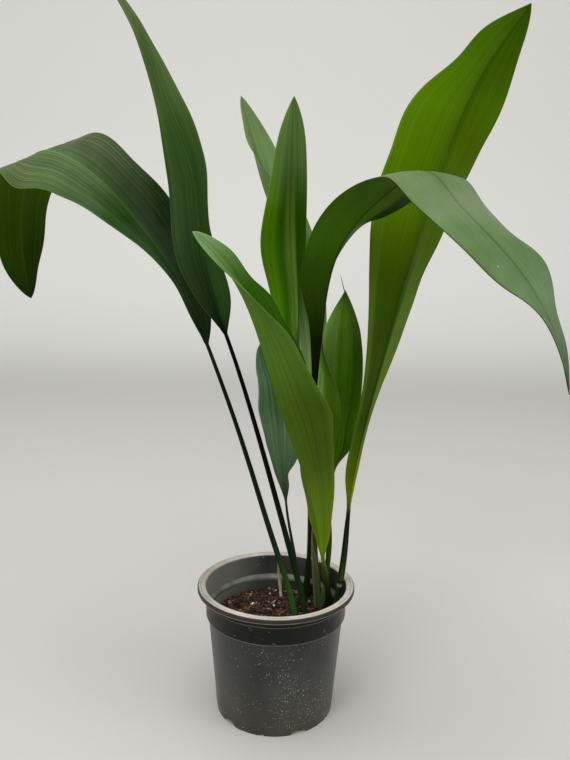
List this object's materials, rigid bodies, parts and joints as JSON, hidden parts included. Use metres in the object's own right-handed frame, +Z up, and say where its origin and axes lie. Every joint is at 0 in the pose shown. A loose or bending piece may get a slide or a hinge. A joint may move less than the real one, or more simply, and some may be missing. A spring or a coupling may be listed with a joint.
{
  "type": "potted cast-iron plant",
  "caption": "Young cast-iron plant with long lance-shaped leaves on thin stalks, some arching over, in a round tapered nursery pot of soil.",
  "frame": {"origin": "middle of the pot's underside, on the pad that it stands on", "axes": "+Z up along the pot's axis; -Y towards the viewer of the plant's front; +X to the right, the side that the tall light leaf leans to"},
  "size_m": [0.5239, 0.3516, 0.7143],
  "materials": {
    "pot": "satin",
    "soil": "matte",
    "leaf_left_arching": "satin",
    "leaf_left_upright": "satin",
    "leaf_centre_upright": "satin",
    "leaf_centre_back": "satin",
    "leaf_front_left": "satin",
    "leaf_right_arching": "satin",
    "leaf_right_tall": "satin",
    "leaf_right_small": "satin",
    "leaf_low_left": "satin",
    "leaf_young_folded": "satin",
    "young_sheath": "satin",
    "dry_stub": "matte"
  },
  "bodies": {
    "root": {"pot": "pot", "soil": "soil", "leaf_left_arching": "leaf_left_arching", "leaf_left_upright": "leaf_left_upright", "leaf_centre_upright": "leaf_centre_upright", "leaf_centre_back": "leaf_centre_back", "leaf_front_left": "leaf_front_left", "leaf_right_arching": "leaf_right_arching", "leaf_right_tall": "leaf_right_tall", "leaf_right_small": "leaf_right_small", "leaf_low_left": "leaf_low_left", "leaf_young_folded": "leaf_young_folded", "young_sheath": "young_sheath", "dry_stub": "dry_stub"}
  },
  "joints": []
}
